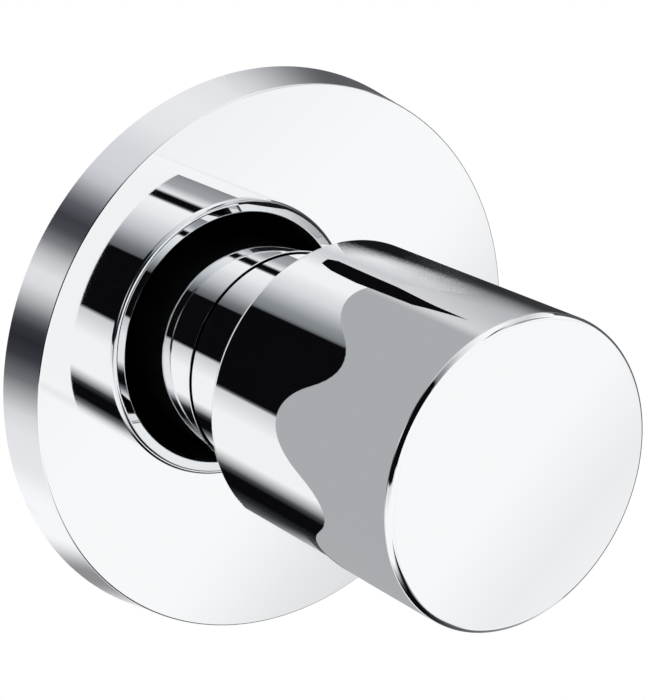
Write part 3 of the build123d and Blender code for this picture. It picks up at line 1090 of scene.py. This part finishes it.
@dataclass(frozen=True)
class Mask:
    """A mask along a direction: at its least up to one place on it, and full from another one on."""

    toward: tuple[float, float, float]
    zero: float
    one: float
    least: float = 0.0
    blend: Blend = Blend.SOFT

    def share(self, tree: NodeTree, at: NodeSocket) -> NodeSocket:
        """Adds the mask to a tree.

        Args:
            tree: The tree of a card or of the world.
            at: The place or direction that is masked.

        Returns:
            The mask's value, up to 1.
        """
        along = add_node(tree, "ShaderNodeVectorMath", {0: at, 1: self.toward}, operation="DOT_PRODUCT")
        return add_node(tree, "ShaderNodeMapRange", {
            "Value": along.outputs["Value"], "From Min": self.zero, "From Max": self.one,
            "To Min": self.least}, interpolation_type=self.blend.value).outputs[0]


@dataclass(frozen=True)
class Tent:
    """A curved card round the valve axis whose shade changes with the angle, for soft bands in mirrors."""

    name: str
    start: float
    end: float
    rear: float
    front: float
    shades: Shades
    radius: float = 120.0
    flare: float = 0.0
    flare_middle: float = 150.0
    flare_span: float = 100.0
    step: float = 3.0

    def material(self) -> Material:
        """Makes a glow that goes from one shade to the next by the angle round the axis.

        Returns:
            The card's material.
        """
        made = bare_material(self.name)
        tree = made.node_tree
        at = add_node(tree, "ShaderNodeTexCoord").outputs["Object"]
        parts = add_node(tree, "ShaderNodeSeparateXYZ", {0: at}).outputs
        angle = add_node(tree, "ShaderNodeMath", {0: parts["Z"], 1: parts["X"]}, operation="ARCTAN2")
        share = add_node(tree, "ShaderNodeMath", {0: angle.outputs[0], 1: TURN}, operation="DIVIDE")
        turned = add_node(tree, "ShaderNodeMath", {0: share.outputs[0]}, operation="FRACT")
        ramp = add_node(tree, "ShaderNodeValToRGB", {0: turned.outputs[0]})
        set_ramp(ramp, [(degrees / 360, colour) for degrees, colour in self.shades])
        glow = add_node(tree, "ShaderNodeEmission", {"Color": ramp.outputs[0], "Strength": 1.0})
        add_node(tree, "ShaderNodeOutputMaterial", {"Surface": glow.outputs[0]})
        return made

    def build(self) -> None:
        """Bends the card and hangs it."""
        steps = max(2, round(abs(self.end - self.start) / self.step))
        verts = []
        for i in range(steps + 1):
            degrees = self.start + (self.end - self.start) * i / steps
            angle = math.radians(degrees)
            front = self.front + self.flare * ((degrees - self.flare_middle) / self.flare_span) ** 2
            verts += [Vector((self.radius * math.cos(angle), -out, self.radius * math.sin(angle)))
                      for out in (self.rear, front)]
        faces = [[2 * i, 2 * i + 1, 2 * i + 3, 2 * i + 2] for i in range(steps)]
        hang_card(self.name, verts, faces, self.material())


# A ramp that has ended left of every card, so that the card is full all over
ALL_OVER: Point = (-1000.0, -999.0)


@dataclass(frozen=True)
class Flag:
    """A flat card across the valve axis that mirrors see from the room, with ramps from clear to full in mm."""

    name: str
    out: float
    corners: tuple[Point, ...]
    colour: str
    soft: Point = ALL_OVER
    along: Point = (1.0, 0.0)
    fade: Point = ALL_OVER

    def material(self) -> Material:
        """Makes a glow that comes in softly along a direction and fades to one side.

        Returns:
            The card's material.
        """
        made = bare_material(self.name)
        tree = made.node_tree
        at = add_node(tree, "ShaderNodeTexCoord").outputs["Object"]
        soft = Mask((self.along[0] / MM, 0.0, self.along[1] / MM), *self.soft).share(tree, at)
        faded = Mask((1 / MM, 0.0, 0.0), *self.fade).share(tree, at)
        both = add_node(tree, "ShaderNodeMath", {0: soft, 1: faded}, operation="MULTIPLY")
        glow = add_node(tree, "ShaderNodeEmission", {"Color": linear(self.colour), "Strength": 1.0})
        show_front(tree, glow.outputs[0], both.outputs[0])
        return made

    def build(self) -> None:
        """Hangs the card; corners in turning order face the room."""
        verts = [Vector((x, -self.out, z)) for x, z in self.corners]
        hang_card(self.name, verts, [list(range(len(verts)))], self.material())


@dataclass(frozen=True)
class MirrorCard:
    """Square mirror just ahead of the escutcheon's face, seen only by what looks at it from the room."""

    left: float = -42.0
    right: float = 42.0
    low: float = -39.2
    high: float = 41.0
    corner: float = 20.0
    corner_steps: int = 10
    gap: float = 0.05

    def build(self) -> None:
        """Rounds the card's corners and hangs it."""
        out = Reach.of("rosette").front + self.gap
        made = bare_material("mirror_card")
        mirror = add_node(made.node_tree, "ShaderNodeBsdfGlossy", {
            "Color": linear(CHROME.colour), "Roughness": 0.0})
        show_front(made.node_tree, mirror.outputs[0])
        left, right = self.left + self.corner, self.right - self.corner
        low, high = self.low + self.corner, self.high - self.corner
        verts = []
        for quarter, (x, z) in enumerate(((right, high), (left, high), (left, low), (right, low))):
            for i in range(self.corner_steps + 1):
                angle = TURN / 4 * (quarter + i / self.corner_steps)
                aside, up = self.corner * math.cos(angle), self.corner * math.sin(angle)
                verts.append(Vector((x + aside, -out, z + up)))
        hang_card("mirror_card", verts, [list(range(len(verts)))], made)


@dataclass(frozen=True)
class Surroundings:
    """White world in which mirrors see a grey wall behind the valve, a dark spot in it and a soft box."""

    wall: Mask = Mask((0, 1, 0), 0.62, 0.7)
    wall_lit: Mask = Mask((0.97, 0, 0.24), 0.46, 0.36, least=0.5)
    wall_colour: str = "#adafb2"
    spot: Mask = Mask((0.61, 0.79, -0.05), 0.86, 0.99)
    spot_colour: str = "#37393d"
    box: Mask = Mask((1, 0, -1), 0.6, 1.2, blend=Blend.EVEN)
    box_shades: Shades = (
        (0.0, WHITE), (0.2, "#f2f3f4"), (0.4, WHITE), (0.66, WHITE), (0.8, "#f2f2f3"), (1.0, WHITE))

    def build(self) -> None:
        """Sets the world up."""
        world = bpy.data.worlds.new("white_studio")
        bpy.context.scene.world = world
        world.use_nodes = True
        tree = world.node_tree
        tree.nodes.clear()
        way = add_node(tree, "ShaderNodeTexCoord").outputs["Generated"]
        masks = (self.wall, self.wall_lit, self.spot, self.box)
        wall, lit, spot, box = (mask.share(tree, way) for mask in masks)
        ramp = add_node(tree, "ShaderNodeValToRGB", {0: box})
        set_ramp(ramp, self.box_shades)
        behind = add_node(tree, "ShaderNodeMath", {0: wall, 1: lit}, operation="MULTIPLY").outputs[0]
        mirrored = add_node(tree, "ShaderNodeLightPath").outputs["Is Glossy Ray"]
        seen = ramp.outputs[0]
        for share, colour in ((behind, self.wall_colour), (spot, self.spot_colour)):
            seen = add_node(tree, "ShaderNodeMix", {
                MIX_SHARE: share, MIX_FIRST: seen, MIX_SECOND: linear(colour),
            }, data_type="RGBA").outputs[MIX_RESULT]
        shown = add_node(tree, "ShaderNodeMix", {
            MIX_SHARE: mirrored, MIX_FIRST: linear(WHITE), MIX_SECOND: seen,
        }, data_type="RGBA").outputs[MIX_RESULT]
        sky = add_node(tree, "ShaderNodeBackground", {"Color": shown, "Strength": 1.0})
        add_node(tree, "ShaderNodeOutputWorld", {"Surface": sky.outputs[0]})


@dataclass
class Studio:
    """White studio: camera at the valve's left, pale floor, and the cards that the chrome mirrors."""

    azimuth: float = -34.34
    elevation: float = 19.83
    distance_mm: float = 310.5
    focal_px: float = 2203.4
    image_px: int = 700
    sensor_mm: float = 36.0
    aim_right_mm: float = 9.42
    aim_up_mm: float = -0.38
    clip_mm: float = 10.0
    floor_mm: float = -150.0
    floor_half_mm: float = 3000.0
    floor_colour: str = "#f2f2f2"
    dark_gap: float = 0.8
    dusk_gap: float = 0.65
    soft_gap: float = 0.5
    rim_light_out: float = -20.0
    rim_dark_out: float = -19.5
    right_out: float = 100.0

    def tents(self) -> list[Tent]:
        """Chooses the bands that the handle, the neck and the escutcheon's rim mirror.

        Returns:
            The curved cards.
        """
        under = ((262, BLACK), (272, "#303235"), (290, "#6d7074"), (302, "#97999c"), (309, "#e4e5e7"))
        right = "#55575b"
        return [
            Tent("tent_front", 40, 262, 0, 126, (
                (40, WHITE), (54, "#d6d8da"), (64, "#e4e6e8"), (73, WHITE), (84, WHITE), (100, "#dfe1e3"),
                (114, "#95989b"), (120.5, "#7b7f82"), (122, BLACK), (182.5, BLACK), (184, "#dcdcde"),
                (200, WHITE), (228, WHITE), (242, "#4c4d50"), (247, BLACK), (262, BLACK))),
            Tent("tent_mouth", 30, 285, 126, 174.5, (
                (30, "#8e9093"), (50, "#a9abae"), (60, "#f4f5f6"), (63, BLACK), (70, BLACK), (72, WHITE),
                (86, "#f4f5f6"), (104, "#c9cbce"), (118, "#7d8083"), (124, "#5d6063"), (125, BLACK),
                (175, BLACK), (177, "#d5d6d8"), (196, WHITE), (226, WHITE), (239, "#3c3d40"), (244, BLACK),
                (258, BLACK), (266, "#6d7074"), (280, "#e8e9ea")), flare=11.0),
            Tent("tent_low", 262, 312, 0, 98, under),
            Tent("tent_under", 262, 290, 98, 132, under),
            Tent("tent_rear", 44, 252, -940, 0, (
                (44, "#c9cacd"), (52, "#dadbde"), (60, "#e8e8eb"), (76, "#eeeef0"), (90, "#ebebee"),
                (102, "#dcdce0"), (114, "#d6d6da"), (119, "#c6c6cb"), (124, "#97989d"), (129, "#5f6067"),
                (135, "#3e3f45"), (140, "#4b4c52"), (145, "#818286"), (150, "#c4c4c7"), (156, "#e6e6e8"),
                (161, "#e0e0e2"), (166, "#b5b6b9"), (171, "#6a6c70"), (175, "#383a40"), (180, "#2a2c32"),
                (186, "#393b41"), (194, "#717377"), (201, "#b4b5b8"), (207, "#dcdcdf"), (214, "#e8e8ea"),
                (230, "#ededef"), (242, "#fcfcfe")), radius=1000.0),
            Tent("tent_right", -48, 55, -60, 90, ((0, right), (360, right)), radius=200.0),
        ]

    def flags(self) -> list[Flag]:
        """Chooses the cards that shade single edges: the handle's top and the escutcheon's rim and right.

        Returns:
            The flat cards.
        """
        face = Reach.of("rosette").front
        below = ((-56.0, -40.0), (-50.0, -46.0), (-42.0, -50.0), (-30.0, -52.5), (-6.0, -52.5), (-6.0, -40.0),
                 (-30.0, -36.0), (-50.0, -26.0), (-56.0, -20.0))
        above = ((8.0, 52.0), (20.0, 45.0), (28.0, 37.0), (33.0, 28.0), (42.0, 27.0), (42.0, 36.0),
                 (38.0, 42.0), (32.0, 50.0), (26.0, 56.5), (20.0, 60.0), (14.0, 61.3), (8.0, 61.5))
        return [
            Flag("flag_wedge", face + self.dark_gap, (
                (0.6, 31.0), (2.9, 30.4), (4.8, 31.4), (11.4, 41.5), (14.2, 49.2), (17.7, 55.6), (7.3, 48.3),
                (1.8, 38.4), (0.4, 33.4)), BLACK),
            Flag("flag_top", face + self.dark_gap, ((8.0, 16.2), (75.0, -3.6), (75.0, 30.6), (8.0, 30.6)),
                 "#17181b", soft=(30.5, 23.6), along=(0.0, 1.0), fade=(60.0, 20.0)),
            Flag("flag_dusk", face + self.dusk_gap, ((9.0, 10.0), (80.0, -5.0), (80.0, 64.0), (9.0, 42.0)),
                 "#3a3b3e", soft=(35.5, 5.0), along=(-0.3, 0.95), fade=(10.0, 40.0)),
            Flag("flag_soft", face + self.soft_gap, ((6.0, 8.0), (80.0, 8.0), (80.0, 70.0), (6.0, 70.0)),
                 "#babcbf", soft=(4.0, 40.0)),
            Flag("flag_rim_low", self.rim_light_out, below, "#fdfdff", fade=(-56.0, -42.0)),
            Flag("flag_rim_shade", self.rim_dark_out, below, "#929294",
                 soft=(-39.0, -26.0), fade=(-4.0, -23.0)),
            Flag("flag_rim_top", self.rim_light_out, above, "#e4e4e7"),
            Flag("flag_rim_dark", self.rim_dark_out, above, "#5c5d60",
                 soft=(-39.0, -6.0), along=(0.72, -0.69)),
            Flag("flag_right", self.right_out,
                 ((60.0, -260.0), (-160.0, -260.0), (260.0, 160.0), (260.0, -260.0)),
                 "#e7e8e9", soft=(118.0, 175.0), along=(1.0, -1.0)),
        ]

    def floor(self) -> None:
        """Pale floor, white to the camera, clear from below and kept out of the mirrors."""
        made = bare_material("pale_floor")
        tree = made.node_tree
        matt = add_node(tree, "ShaderNodeBsdfDiffuse", {"Color": linear(self.floor_colour)}).outputs[0]
        white = add_node(tree, "ShaderNodeEmission", {"Color": linear(WHITE), "Strength": 1.0}).outputs[0]
        direct = add_node(tree, "ShaderNodeLightPath").outputs["Is Camera Ray"]
        top = add_node(tree, "ShaderNodeMixShader", {0: direct, 1: matt, 2: white})
        show_front(tree, top.outputs[0])
        half = self.floor_half_mm
        verts = [Vector((x * half, y * half, self.floor_mm)) for x, y in QUARTERS]
        hang_card("floor", verts, [[0, 1, 2, 3]], made, unseen=("glossy",))

    def camera(self) -> None:
        """Camera at the photograph's place and angle."""
        a, e = math.radians(self.azimuth), math.radians(self.elevation)
        back = Vector((math.sin(a) * math.cos(e), -math.cos(a) * math.cos(e), math.sin(e)))
        right = Vector((math.cos(a), math.sin(a), 0))
        up = back.cross(right)
        eye = back * self.distance_mm * MM
        aim = (right * self.aim_right_mm + up * self.aim_up_mm) * MM
        data = bpy.data.cameras.new("camera")
        data.sensor_width = self.sensor_mm
        data.lens = self.focal_px * self.sensor_mm / self.image_px
        data.clip_start = self.clip_mm * MM
        camera = add_object("camera", data)
        camera.location = eye
        camera.rotation_euler = (aim - eye).to_track_quat("-Z", "Y").to_euler()
        bpy.context.scene.camera = camera

    def build(self) -> None:
        """Sets the studio up."""
        bpy.context.scene.view_settings.view_transform = "Standard"
        self.camera()
        Surroundings().build()
        self.floor()
        for card in (*self.tents(), *self.flags(), MirrorCard()):
            card.build()


def main() -> None:
    """Builds the valve's looks in order and reports each piece."""
    logging.basicConfig(level=logging.INFO, format="%(message)s")
    dresser = Dresser()
    dresser.dress_nodes()
    Trim().build(dresser)
    Handle().build(dresser)
    Headwork().build(dresser)
    Studio().build()
    LOG.info("%d pieces made", len(dresser.made))


if __name__ == "__main__":
    main()
